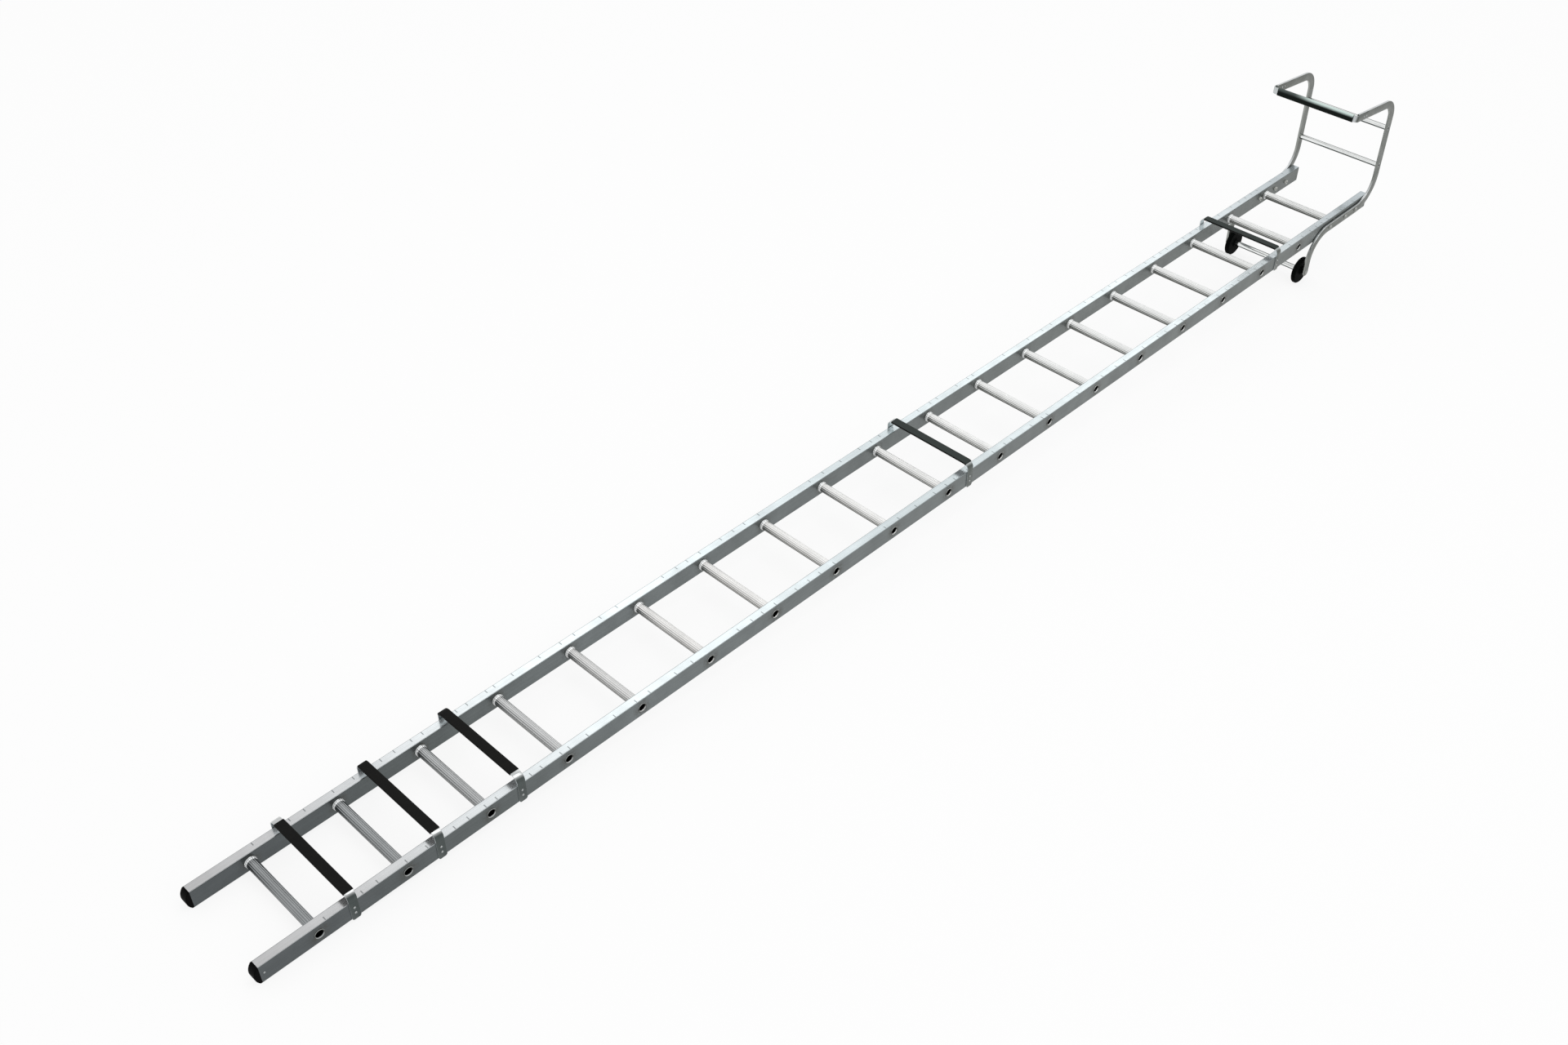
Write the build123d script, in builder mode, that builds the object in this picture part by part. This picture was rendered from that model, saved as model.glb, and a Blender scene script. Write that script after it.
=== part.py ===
"""Roof ladder: box-section aluminium stiles, fluted swaged rungs, sleeved roof bearers
and a bolted ridge hook that carries two wheels.

The ladder lies as it is rolled along the ground, hook and bearers up, resting on its
two foot caps and its two wheels. X runs across it, Y from the foot to the hook, Z up.
The origin is on the ground under the middle of its length. All sizes are millimetres.
"""

import os
from math import asin, atan2, cos, degrees, hypot, radians, sin

from build123d import *

# Frame of the ladder
RUNG_COUNT = 19
RUNG_PITCH = 254.0
FOOT_OVERHANG = 160.0
HEAD_OVERHANG = 236.0
OVERALL_WIDTH = 330.0

# Stiles, rectangular box extrusions
STILE_WIDTH = 28.0
STILE_DEPTH = 58.0
STILE_WALL = 2.0
STILE_CORNER = 2.5

# Rungs, fluted tubes swaged into the stiles
RUNG_RADIUS = 15.0
FLUTE_COUNT = 16
FLUTE_DEPTH = 1.0
RUNG_WALL = 3.0
NECK_STEP = 1.5
COLLAR_STEP = 2.5
COLLAR_LENGTH = 6.0
LIP_STEP = 1.5
LIP_HEIGHT = 1.2
SWAGE_CLEARANCE = 0.15

# Foot caps, moulded plugs with a domed sole
CAP_FLANGE = 4.0
CAP_DOME = 11.0
PLUG_LENGTH = 30.0
PLUG_CLEARANCE = 0.3
CAP_EDGE = 2.0

# Roof bearers, flat straps with a rubber sleeve
BEARER_BAYS = (1, 2, 3, 10, 17)
BEARER_OFFSET = 98.0
BEARER_WIDTH = 25.0
BEARER_THICKNESS = 3.0
BEARER_GAP = 28.0
BEARER_END_DROP = 2.0
BEARER_SHOULDER = 20.0
BEARER_CORNER_CUT = 4.0

# Sleeves of the bearers and of the hook bar. Each bearer's sleeve has slipped its own way:
# how far its left and right ends run past the straight part of the strap, round the bends
SLEEVE_WALL = 2.0
SLEEVE_CLEARANCE = 0.2
SLEEVE_ENDS_PAST_BEND = ((-5.0, 7.0), (9.0, 4.0), (16.0, -6.0), (3.0, 10.0), (5.0, 8.0))
BAR_SLEEVE_FACE_WALL = 4.3
BAR_SLEEVE_END_GAPS = (9.0, 1.0)

# Ridge hook, two bent flat bars bolted to the outer faces of the stiles
RAIL_WIDTH = 30.0
RAIL_THICKNESS = 8.0
PACKER_THICKNESS = 2.0
PACKER_RADIUS = 12.0
RISER_BEYOND_HEAD = 22.0
LEG_TO_RISER = 422.0
AXLE_DROP = 148.0
HOOK_HEIGHT = 412.0
ARM_LENGTH = 283.0
ARM_SLOPE = 6.5
RAIL_BEND = 105.0
HOOK_BEND = 72.0

# Bolts of the hook, measured back from the head end of a stile
BOLTS_FROM_HEAD = (92.0, 168.0, 279.0)
BOLT_RADIUS = 4.0
BOLT_CLEARANCE = 0.2
THREAD_CLEARANCE = 0.1
BOLT_HEAD_RADIUS = 9.0
BOLT_HEAD_HEIGHT = 4.0
HEAD_TAPER = 30.0
NUT_ACROSS_FLATS = 13.0
NUT_HEIGHT = 6.5
BOLT_END = 2.5

# Round tubes between the two hook rails
CROSS_TUBE_HEIGHTS = {"lower": 146.0, "upper": 302.0}
CROSS_TUBE_RADIUS = 9.5
CROSS_TUBE_WALL = 4.5
SPIGOT_STEP = 2.5
SPIGOT_CLEARANCE = 0.15

# Hook bar, a strap bent round the free ends of the arms
BAR_WIDTH = 25.0
BAR_THICKNESS = 3.0
BAR_BEYOND_ARM = 15.0
BAR_LAP = 72.0
BAR_CORNER = 16.0

# Wheels and axle
WHEEL_RADIUS = 52.0
WHEEL_WIDTH = 24.0
WHEEL_HUB_RADIUS = 16.0
WHEEL_SHOULDER = 3.0
WHEEL_TREAD_WIDTH = 8.0
WHEEL_EDGE = 7.0
AXLE_RADIUS = 6.0
AXLE_HEAD_RADIUS = 7.5
AXLE_HEAD_HEIGHT = 1.5
WHEEL_RUNNING_FIT = 0.08
WHEEL_SIDE_GAP = 0.4
AXLE_COLLAR_RADIUS = 11.0
AXLE_COLLAR_LENGTH = 6.0
AXLE_TUBE_RADIUS = 10.0
AXLE_TUBE_CLEARANCE = 0.15

# Places that follow, in the ladder's own lines: across, along from rung 1, up from the rungs
half_width = OVERALL_WIDTH / 2
stile_centre = half_width - STILE_WIDTH / 2
inner_face = half_width - STILE_WIDTH
foot_end = -FOOT_OVERHANG
head_end = (RUNG_COUNT - 1) * RUNG_PITCH + HEAD_OVERHANG
stile_length = head_end - foot_end
half_depth = STILE_DEPTH / 2
riser_y = head_end + RISER_BEYOND_HEAD
axle_y = riser_y - LEG_TO_RISER
rail_inner = half_width + PACKER_THICKNESS
rail_outer = rail_inner + RAIL_THICKNESS
neck_radius = RUNG_RADIUS - NECK_STEP
spigot_radius = CROSS_TUBE_RADIUS - SPIGOT_STEP

# The ladder leans so that the foot caps and the wheels both stand on the ground
sole_y = foot_end - CAP_FLANGE
run = axle_y - sole_y
drop = AXLE_DROP - half_depth
LEAN = asin(WHEEL_RADIUS / hypot(run, drop)) + atan2(drop, run)
dome_radius = (half_depth**2 + CAP_DOME**2) / (2 * CAP_DOME)
foot_reach = (sole_y - CAP_DOME + dome_radius) * cos(LEAN) - dome_radius
bend_outer = RAIL_BEND + RAIL_WIDTH / 2
hook_reach = (riser_y - RAIL_BEND) * cos(LEAN) - RAIL_BEND * sin(LEAN) + bend_outer
rung_one = Vector(0, -(foot_reach + hook_reach) / 2, half_depth * cos(LEAN) - sole_y * sin(LEAN))

# DECK lies in the plane of the rungs, SIDE faces +X and SECTION looks along the ladder
along = Vector(0, cos(LEAN), sin(LEAN))
upward = Vector(0, -sin(LEAN), cos(LEAN))
DECK = Plane(origin=rung_one, x_dir=(1, 0, 0), z_dir=upward)
SIDE = Plane(origin=rung_one, x_dir=along, z_dir=(1, 0, 0))
SECTION = Plane(origin=rung_one, x_dir=(1, 0, 0), z_dir=-along)


def section_at(y):
    """The plane across the ladder at a distance along it."""
    return SECTION.offset(-y)


def finish(part, label):
    """Names a piece and writes it to its own file."""
    part.label = label
    export_step(part, f"parts/{label}.step")


def side_name(side):
    """The name of a side of the ladder, seen from its foot."""
    return "right" if side > 0 else "left"


os.makedirs("parts", exist_ok=True)


# Stiles: box extrusions with a hole through both walls for each rung and each hook bolt
def stile(side):
    with BuildPart() as body:
        with BuildSketch(section_at(foot_end)):
            with Locations((side * stile_centre, 0)):
                RectangleRounded(STILE_WIDTH, STILE_DEPTH, STILE_CORNER)
                Rectangle(
                    STILE_WIDTH - 2 * STILE_WALL,
                    STILE_DEPTH - 2 * STILE_WALL,
                    mode=Mode.SUBTRACT,
                )
        extrude(amount=-stile_length)
        with BuildSketch(SIDE.offset(side * stile_centre)):
            with Locations([(rung * RUNG_PITCH, 0) for rung in range(RUNG_COUNT)]):
                Circle(neck_radius + SWAGE_CLEARANCE)
            with Locations([(head_end - distance, 0) for distance in BOLTS_FROM_HEAD]):
                Circle(BOLT_RADIUS + BOLT_CLEARANCE)
        extrude(amount=STILE_WIDTH, both=True, mode=Mode.SUBTRACT)
    finish(body.part, f"stile_{side_name(side)}")


# Rungs: a fluted tube between two collars, with a plain neck through each stile
# that is flared over its outer face
def flute_points(centre):
    step = 180 / FLUTE_COUNT
    radii = (RUNG_RADIUS, RUNG_RADIUS - FLUTE_DEPTH)
    return [
        (
            centre + radii[i % 2] * cos(radians(i * step)),
            radii[i % 2] * sin(radians(i * step)),
        )
        for i in range(2 * FLUTE_COUNT)
    ]


def rung(number):
    y = (number - 1) * RUNG_PITCH
    fluted_half = inner_face - COLLAR_LENGTH
    collar_radius = RUNG_RADIUS + COLLAR_STEP
    lip_end = half_width + LIP_HEIGHT
    with BuildPart() as body:
        with BuildSketch(SIDE):
            Polygon(*flute_points(y), align=None)
        extrude(amount=fluted_half, both=True)
        with BuildSketch(DECK):
            with BuildLine():
                Polyline(
                    (fluted_half, y),
                    (fluted_half, y + collar_radius),
                    (inner_face, y + collar_radius),
                    (inner_face, y + neck_radius),
                    (half_width, y + neck_radius),
                    (lip_end, y + RUNG_RADIUS + LIP_STEP),
                    (lip_end, y),
                    close=True,
                )
            make_face()
            mirror(about=SIDE)
        revolve(axis=Axis(DECK.from_local_coords((0, y, 0)), (1, 0, 0)))
        with BuildSketch(SIDE):
            with Locations((y, 0)):
                Circle(RUNG_RADIUS - RUNG_WALL)
        extrude(amount=lip_end, both=True, mode=Mode.SUBTRACT)
    finish(body.part, f"rung_{number:02d}")


# Foot caps: a plug inside the stile and a domed sole outside it
def foot_cap(side):
    cavity = (
        STILE_WIDTH - 2 * (STILE_WALL + PLUG_CLEARANCE),
        STILE_DEPTH - 2 * (STILE_WALL + PLUG_CLEARANCE),
    )
    with BuildPart() as body:
        with BuildSketch(section_at(foot_end)):
            with Locations((side * stile_centre, 0)):
                RectangleRounded(STILE_WIDTH, STILE_DEPTH, STILE_CORNER)
        extrude(amount=CAP_FLANGE + CAP_DOME)
        with BuildSketch(SIDE.offset(side * stile_centre)):
            with BuildLine():
                ThreePointArc((sole_y, -half_depth), (sole_y - CAP_DOME, 0), (sole_y, half_depth))
                Polyline(
                    (sole_y, half_depth),
                    (foot_end, half_depth),
                    (foot_end, -half_depth),
                    (sole_y, -half_depth),
                )
            make_face()
        extrude(amount=STILE_WIDTH, both=True, mode=Mode.INTERSECT)
        sole = body.edges().filter_by(GeomType.CIRCLE).sort_by(SortBy.LENGTH)[-2:]
        fillet(sole, radius=CAP_EDGE)
        with BuildSketch(section_at(foot_end)):
            with Locations((side * stile_centre, 0)):
                Rectangle(*cavity)
        extrude(amount=-PLUG_LENGTH)
    finish(body.part, f"foot_cap_{side_name(side)}")


# Roof bearers: a strap up the outer face of each stile and across above the rungs
bearer_face = half_width + BEARER_THICKNESS
bearer_top = half_depth + BEARER_GAP + BEARER_THICKNESS
bearer_end = -half_depth - BEARER_END_DROP


def bearer_strap(number, y):
    plane = section_at(y)
    with BuildPart() as body:
        with BuildSketch(plane):
            with BuildLine():
                outer = FilletPolyline(
                    (-bearer_face, bearer_end),
                    (-bearer_face, bearer_top),
                    (bearer_face, bearer_top),
                    (bearer_face, bearer_end),
                    radius=BEARER_SHOULDER,
                )
                inner = FilletPolyline(
                    (-half_width, bearer_end),
                    (-half_width, bearer_top - BEARER_THICKNESS),
                    (half_width, bearer_top - BEARER_THICKNESS),
                    (half_width, bearer_end),
                    radius=BEARER_SHOULDER - BEARER_THICKNESS,
                )
                Line(outer @ 0, inner @ 0)
                Line(outer @ 1, inner @ 1)
            make_face()
        extrude(amount=BEARER_WIDTH / 2, both=True)
        tips = body.edges().filter_by(Axis.X).sort_by(Axis(DECK.origin, upward))[:4]
        chamfer(tips, length=BEARER_CORNER_CUT)
    finish(body.part, f"bearer_strap_{number}")


def sleeve_section(width, thickness, face_wall):
    """The section of a rubber sleeve with rounded edges, open for a flat strap."""
    hole_width = width + 2 * SLEEVE_CLEARANCE
    hole_thickness = thickness + 2 * SLEEVE_CLEARANCE
    outer_thickness = hole_thickness + 2 * face_wall
    RectangleRounded(hole_width + 2 * SLEEVE_WALL, outer_thickness, 0.45 * outer_thickness)
    Rectangle(hole_width, hole_thickness, mode=Mode.SUBTRACT)


def bearer_sleeve(number, y, past_bends):
    plane = section_at(y)
    centre_height = bearer_top - BEARER_THICKNESS / 2
    bend = BEARER_SHOULDER - BEARER_THICKNESS / 2
    straight = bearer_face - BEARER_SHOULDER
    with BuildPart() as body:
        with BuildLine(plane) as path:
            for side, past in zip((-1, 1), past_bends):
                Line((0, centre_height), (side * (straight + min(past, 0)), centre_height))
                if past > 0:
                    CenterArc(
                        (side * straight, centre_height - bend),
                        bend,
                        start_angle=90,
                        arc_size=-side * degrees(past / bend),
                    )
        with BuildSketch(Plane(origin=path.line @ 0, x_dir=along, z_dir=path.line % 0)):
            sleeve_section(BEARER_WIDTH, BEARER_THICKNESS, SLEEVE_WALL)
        sweep(path=path.line)
    finish(body.part, f"bearer_sleeve_{number}")


# Hook rails: one flat bar from the axle, along the stile, up and over the ridge
arm_slope = radians(ARM_SLOPE)
arm_end_y = riser_y - ARM_LENGTH * cos(arm_slope)
arm_end_height = HOOK_HEIGHT + ARM_LENGTH * sin(arm_slope)
bolt_places = [(head_end - distance, 0) for distance in BOLTS_FROM_HEAD]
cross_tube_places = [(riser_y, height) for height in CROSS_TUBE_HEIGHTS.values()]


def hook_rail(side):
    with BuildPart() as body:
        with BuildSketch(SIDE.offset(side * (rail_inner + RAIL_THICKNESS / 2))):
            with BuildLine():
                FilletPolyline(
                    (axle_y, -AXLE_DROP),
                    (axle_y, 0),
                    (riser_y, 0),
                    (riser_y, HOOK_HEIGHT),
                    (arm_end_y, arm_end_height),
                    radius=(RAIL_BEND, RAIL_BEND, HOOK_BEND),
                )
                offset(amount=RAIL_WIDTH / 2, side=Side.BOTH)
            make_face()
            with Locations(Location((arm_end_y, arm_end_height, 0), (0, 0, 180 - ARM_SLOPE))):
                Rectangle(
                    RAIL_WIDTH,
                    2 * RAIL_WIDTH,
                    align=(Align.MIN, Align.CENTER),
                    mode=Mode.SUBTRACT,
                )
            with Locations((axle_y, -AXLE_DROP)):
                Circle(AXLE_RADIUS + SWAGE_CLEARANCE, mode=Mode.SUBTRACT)
            with Locations(cross_tube_places):
                Circle(spigot_radius + SPIGOT_CLEARANCE, mode=Mode.SUBTRACT)
            with Locations(bolt_places):
                Circle(BOLT_RADIUS + BOLT_CLEARANCE, mode=Mode.SUBTRACT)
        extrude(amount=RAIL_THICKNESS / 2, both=True)
    finish(body.part, f"hook_rail_{side_name(side)}")


# Bolts of the hook: a packer between rail and stile, which clears the flared rung end,
# a low round head outside and a nut inside
def hook_packers():
    with BuildPart() as group:
        with BuildSketch(SIDE.offset(half_width)):
            with Locations(bolt_places):
                Circle(PACKER_RADIUS)
                Circle(BOLT_RADIUS + BOLT_CLEARANCE, mode=Mode.SUBTRACT)
        extrude(amount=PACKER_THICKNESS)
        mirror(about=SIDE)
    finish(group.part, "hook_packers")


def hook_bolts():
    shank_end = inner_face - NUT_HEIGHT - BOLT_END
    with BuildPart() as group:
        with BuildSketch(SIDE.offset(shank_end)):
            with Locations(bolt_places):
                Circle(BOLT_RADIUS)
        extrude(amount=rail_outer - shank_end)
        with BuildSketch(SIDE.offset(rail_outer)):
            with Locations(bolt_places):
                Circle(BOLT_HEAD_RADIUS)
        extrude(amount=BOLT_HEAD_HEIGHT, taper=HEAD_TAPER)
        mirror(about=SIDE)
    finish(group.part, "hook_bolts")


def hook_nuts():
    with BuildPart() as group:
        with BuildSketch(SIDE.offset(inner_face)):
            with Locations(bolt_places):
                RegularPolygon(NUT_ACROSS_FLATS / 2, 6, major_radius=False)
                Circle(BOLT_RADIUS + THREAD_CLEARANCE, mode=Mode.SUBTRACT)
        extrude(amount=-NUT_HEIGHT)
        mirror(about=SIDE)
    finish(group.part, "hook_nuts")


# Cross tubes: their turned-down ends pass through the rails and are peened flush
def hook_cross_tube(name, height):
    with BuildPart() as body:
        with BuildSketch(SIDE):
            with Locations((riser_y, height)):
                Circle(CROSS_TUBE_RADIUS)
        extrude(amount=rail_inner, both=True)
        with BuildSketch(SIDE):
            with Locations((riser_y, height)):
                Circle(spigot_radius)
        extrude(amount=rail_outer, both=True)
        with BuildSketch(SIDE):
            with Locations((riser_y, height)):
                Circle(CROSS_TUBE_RADIUS - CROSS_TUBE_WALL)
        extrude(amount=rail_outer, both=True, mode=Mode.SUBTRACT)
    finish(body.part, f"hook_cross_tube_{name}")


# Hook bar: a strap in line with the arms, bent round their ends, and its sleeve
arm_direction = upward * sin(arm_slope) - along * cos(arm_slope)
arm_normal = Vector(1, 0, 0).cross(arm_direction)
arm_end = DECK.from_local_coords(Vector(0, arm_end_y, arm_end_height))
ARM = Plane(origin=arm_end, x_dir=(1, 0, 0), z_dir=arm_normal)
bar_face = rail_outer + BAR_THICKNESS
bar_front = BAR_BEYOND_ARM + BAR_THICKNESS


def hook_bar_strap():
    with BuildPart() as body:
        with BuildSketch(ARM):
            with BuildLine():
                outer = FilletPolyline(
                    (-bar_face, -BAR_LAP),
                    (-bar_face, bar_front),
                    (bar_face, bar_front),
                    (bar_face, -BAR_LAP),
                    radius=BAR_CORNER,
                )
                inner = FilletPolyline(
                    (-rail_outer, -BAR_LAP),
                    (-rail_outer, BAR_BEYOND_ARM),
                    (rail_outer, BAR_BEYOND_ARM),
                    (rail_outer, -BAR_LAP),
                    radius=BAR_CORNER - BAR_THICKNESS,
                )
                Line(outer @ 0, inner @ 0)
                Line(outer @ 1, inner @ 1)
            make_face()
        extrude(amount=BAR_WIDTH / 2, both=True)
    finish(body.part, "hook_bar_strap")


def hook_bar_sleeve():
    section = Plane(
        origin=ARM.from_local_coords(Vector(0, bar_front - BAR_THICKNESS / 2, 0)),
        x_dir=arm_normal,
        z_dir=(1, 0, 0),
    )
    left_end, right_end = (bar_face - BAR_CORNER - gap for gap in BAR_SLEEVE_END_GAPS)
    with BuildPart() as body:
        with BuildSketch(section.offset(-left_end)):
            sleeve_section(BAR_WIDTH, BAR_THICKNESS, BAR_SLEEVE_FACE_WALL)
        extrude(amount=left_end + right_end)
    finish(body.part, "hook_bar_sleeve")


# Axle: a rod peened over outside the rails, a tube that keeps the wheels apart and
# a collar between each wheel and its rail
AXLE = Plane(
    origin=DECK.from_local_coords(Vector(0, axle_y, -AXLE_DROP)),
    x_dir=(1, 0, 0),
    z_dir=upward,
)
AXLE_END = Plane(origin=AXLE.origin, x_dir=along, z_dir=(1, 0, 0))
wheel_outer = rail_inner - AXLE_COLLAR_LENGTH - WHEEL_SIDE_GAP
wheel_centre = wheel_outer - WHEEL_WIDTH / 2
axle_tube_end = wheel_outer - WHEEL_WIDTH - WHEEL_SIDE_GAP


def axle_rod():
    with BuildPart() as body:
        with BuildSketch(AXLE_END):
            Circle(AXLE_RADIUS)
        extrude(amount=rail_outer, both=True)
        with BuildSketch(AXLE_END.offset(rail_outer)):
            Circle(AXLE_HEAD_RADIUS)
        extrude(amount=AXLE_HEAD_HEIGHT, taper=HEAD_TAPER)
        mirror(about=SIDE)
    finish(body.part, "axle_rod")


def axle_tube():
    with BuildPart() as body:
        with BuildSketch(AXLE_END):
            Circle(AXLE_TUBE_RADIUS)
            Circle(AXLE_RADIUS + AXLE_TUBE_CLEARANCE, mode=Mode.SUBTRACT)
        extrude(amount=axle_tube_end, both=True)
    finish(body.part, "axle_tube")


def axle_collars():
    with BuildPart() as group:
        with BuildSketch(AXLE_END.offset(rail_inner)):
            Circle(AXLE_COLLAR_RADIUS)
            Circle(AXLE_RADIUS + AXLE_TUBE_CLEARANCE, mode=Mode.SUBTRACT)
        extrude(amount=-AXLE_COLLAR_LENGTH)
        mirror(about=SIDE)
    finish(group.part, "axle_collars")


# Wheels: solid moulded discs with a hub boss on each face and a rounded tread
def wheel(side):
    bore = AXLE_RADIUS + WHEEL_RUNNING_FIT
    hub_half = WHEEL_WIDTH / 2
    web_half = hub_half - WHEEL_SHOULDER
    tread_half = WHEEL_TREAD_WIDTH / 2
    rim_start = WHEEL_RADIUS - WHEEL_EDGE
    web_start = WHEEL_HUB_RADIUS + WHEEL_SHOULDER
    centre = Plane(
        origin=AXLE.from_local_coords(Vector(side * wheel_centre, 0, 0)),
        x_dir=(1, 0, 0),
        z_dir=upward,
    )
    with BuildPart() as body:
        with BuildSketch(centre):
            with BuildLine():
                Polyline(
                    (0, bore),
                    (hub_half, bore),
                    (hub_half, WHEEL_HUB_RADIUS),
                    (web_half, web_start),
                    (web_half, rim_start),
                )
                TangentArc((web_half, rim_start), (tread_half, WHEEL_RADIUS), tangent=(0, 1))
                Line((tread_half, WHEEL_RADIUS), (0, WHEEL_RADIUS))
                mirror(about=Plane.YZ)
            make_face()
        revolve(axis=Axis(AXLE.origin, (1, 0, 0)))
    finish(body.part, f"wheel_{side_name(side)}")


for side in (-1, 1):
    stile(side)
    foot_cap(side)
    hook_rail(side)
    wheel(side)

for number in range(1, RUNG_COUNT + 1):
    rung(number)

for number, bay in enumerate(BEARER_BAYS, start=1):
    bearer_y = (bay - 1) * RUNG_PITCH + BEARER_OFFSET
    bearer_strap(number, bearer_y)
    bearer_sleeve(number, bearer_y, SLEEVE_ENDS_PAST_BEND[number - 1])

hook_packers()
hook_bolts()
hook_nuts()
for name, height in CROSS_TUBE_HEIGHTS.items():
    hook_cross_tube(name, height)
hook_bar_strap()
hook_bar_sleeve()
axle_rod()
axle_tube()
axle_collars()
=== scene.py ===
"""Looks of the roof ladder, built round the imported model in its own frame, in metres."""

from math import atan2, cos, pi, radians, sin

import bmesh
import bpy
from mathutils import Matrix, Vector


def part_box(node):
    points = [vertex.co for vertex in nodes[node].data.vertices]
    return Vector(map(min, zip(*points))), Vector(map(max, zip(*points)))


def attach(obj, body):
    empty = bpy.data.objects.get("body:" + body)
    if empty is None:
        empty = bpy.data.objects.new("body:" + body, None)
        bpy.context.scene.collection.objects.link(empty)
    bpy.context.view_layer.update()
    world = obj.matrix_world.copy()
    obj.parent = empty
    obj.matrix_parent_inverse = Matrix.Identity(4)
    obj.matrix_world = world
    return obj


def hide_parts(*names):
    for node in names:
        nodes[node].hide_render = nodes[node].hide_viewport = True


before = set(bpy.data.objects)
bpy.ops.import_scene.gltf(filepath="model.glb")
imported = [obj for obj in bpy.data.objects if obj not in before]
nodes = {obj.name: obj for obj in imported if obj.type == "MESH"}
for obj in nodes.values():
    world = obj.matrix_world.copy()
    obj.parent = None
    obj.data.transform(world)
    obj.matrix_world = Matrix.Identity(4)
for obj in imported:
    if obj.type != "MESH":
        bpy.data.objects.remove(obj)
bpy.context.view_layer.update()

# The stiles: two rectangular box extrusions of mill-finish aluminium, cut square, with faint
# die lines along the wide sides. Painted light and shade: the narrow tops are painted bright and
# the wide sides a dull dark grey, the sides darkest at the foot and the tops a little darker at
# both ends. The tool that swaged each rung left a smudged, slightly dished ring round its hole.
MM = 0.001
# Painted light and shade: tones of the tops, the sides and the faces below, by place along the
# ladder in mm.
STILE_TOPS = [
    (-160, "#CACACB"),
    (120, "#DCDDDE"),
    (420, "#E9EDEF"),
    (900, "#E9F1F3"),
    (2000, "#DFE9EC"),
    (3200, "#E3ECEE"),
    (4300, "#E2EAED"),
    (4650, "#CCD5D9"),
]
STILE_SIDES = [
    (0, "#575C5E"),
    (550, "#5F6565"),
    (1000, "#73797A"),
    (3200, "#757A79"),
    (4700, "#6B706E"),
]
STILE_UNDER = [(0, "#7C8283")]
SMUDGE_COLOUR = "#45433D"
SMUDGE_INNER_RADIUS = 17.0
SMUDGE_OUTER_RADIUS = 38.0
SMEAR_SIZE = 9.0
DISH_DEPTH = 0.2
TICK_SPACING = 47.0
TICK_WIDTH = 3.0
TICKS_LEFT_OUT = 0.3
CORNER_LINE = 2.4
LINE_COLOUR = "#555B5D"
inner_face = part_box("stile_right")[0].x / MM
outer_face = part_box("stile_right")[1].x / MM


def middle(node):
    low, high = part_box(node)
    return (low + high) / 2


# The first and the last rung give the lean of the ladder, the direction along the stiles and
# the pitch. place() turns millimetres across, along and above the first rung into a point.
rung_nodes = sorted(name for name in nodes if name.startswith("rung_"))
first_rung = middle(rung_nodes[0])
ladder_run = middle(rung_nodes[-1]) - first_rung
pitch = ladder_run.length / (len(rung_nodes) - 1)
lean = atan2(ladder_run.z, ladder_run.y)
across = Vector((1, 0, 0))
along = ladder_run.normalized()
upward = across.cross(along)


def place(x, y, z):
    return first_rung + (across * x + along * y + upward * z) * MM


def linear(hex_colour):
    channels = [int(hex_colour[i : i + 2], 16) / 255 for i in (1, 3, 5)]
    return [c / 12.92 if c <= 0.04045 else ((c + 0.055) / 1.055) ** 2.4 for c in channels] + [1]


def add_node(tree, kind, inputs=None, **settings):
    """Adds a node, sets its settings, and sets or links its inputs. A Mix node of colours
    takes them as inputs 6 and 7, and gives the result as output 2."""
    made = tree.nodes.new(kind)
    for name, value in settings.items():
        setattr(made, name, value)
    for socket, value in (inputs or {}).items():
        if isinstance(value, bpy.types.NodeSocket):
            tree.links.new(value, made.inputs[socket])
        else:
            made.inputs[socket].default_value = value
    return made


# The painted light and shade of the metal may change along the ladder, between these two places
# from rung one.
TONES_FROM = -200.0
TONES_TO = 4800.0


def paint_light_by_facing(tree, normal, spot, palette, turn):
    """Painted light and shade: the colour of the metal where it looks up, sideways and down, taken
    from a palette of three lit and shaded tones, and how far it looks sideways. Between the two
    values of turn, the height of the normal takes it from the third tone to the first."""
    reach = add_node(tree, "ShaderNodeSeparateXYZ", {"Vector": spot}).outputs["Y"]
    share = add_node(
        tree,
        "ShaderNodeMapRange",
        {"Value": reach, "From Min": TONES_FROM * MM, "From Max": TONES_TO * MM},
    ).outputs["Result"]
    tones = []
    for steps in palette:
        ramp = add_node(tree, "ShaderNodeValToRGB", {"Fac": share})
        marks = ramp.color_ramp.elements
        marks.remove(marks[1])
        for number, (distance, colour) in enumerate(steps):
            position = (distance - TONES_FROM) / (TONES_TO - TONES_FROM)
            mark = marks[0] if number == 0 else marks.new(position)
            mark.position = position
            mark.color = linear(colour)
        tones.append(ramp.outputs["Color"])
    outward = add_node(tree, "ShaderNodeSeparateXYZ", {"Vector": normal}).outputs
    skyward = add_node(
        tree,
        "ShaderNodeMapRange",
        {"Value": outward["Z"], "From Min": turn[0], "From Max": turn[1]},
        interpolation_type="SMOOTHSTEP",
    ).outputs["Result"]
    turned = add_node(tree, "ShaderNodeMath", {0: outward["X"]}, operation="ABSOLUTE")
    sideways = add_node(
        tree,
        "ShaderNodeMapRange",
        {"Value": turned.outputs[0], "From Min": 0.5, "From Max": 0.9},
        interpolation_type="SMOOTHSTEP",
        name="sideways",
    ).outputs["Result"]
    tone = add_node(
        tree, "ShaderNodeMix", {0: skyward, 6: tones[2], 7: tones[0]}, data_type="RGBA"
    ).outputs[2]
    tone = add_node(
        tree, "ShaderNodeMix", {0: sideways, 6: tone, 7: tones[1]}, data_type="RGBA"
    ).outputs[2]
    return tone, sideways


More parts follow.
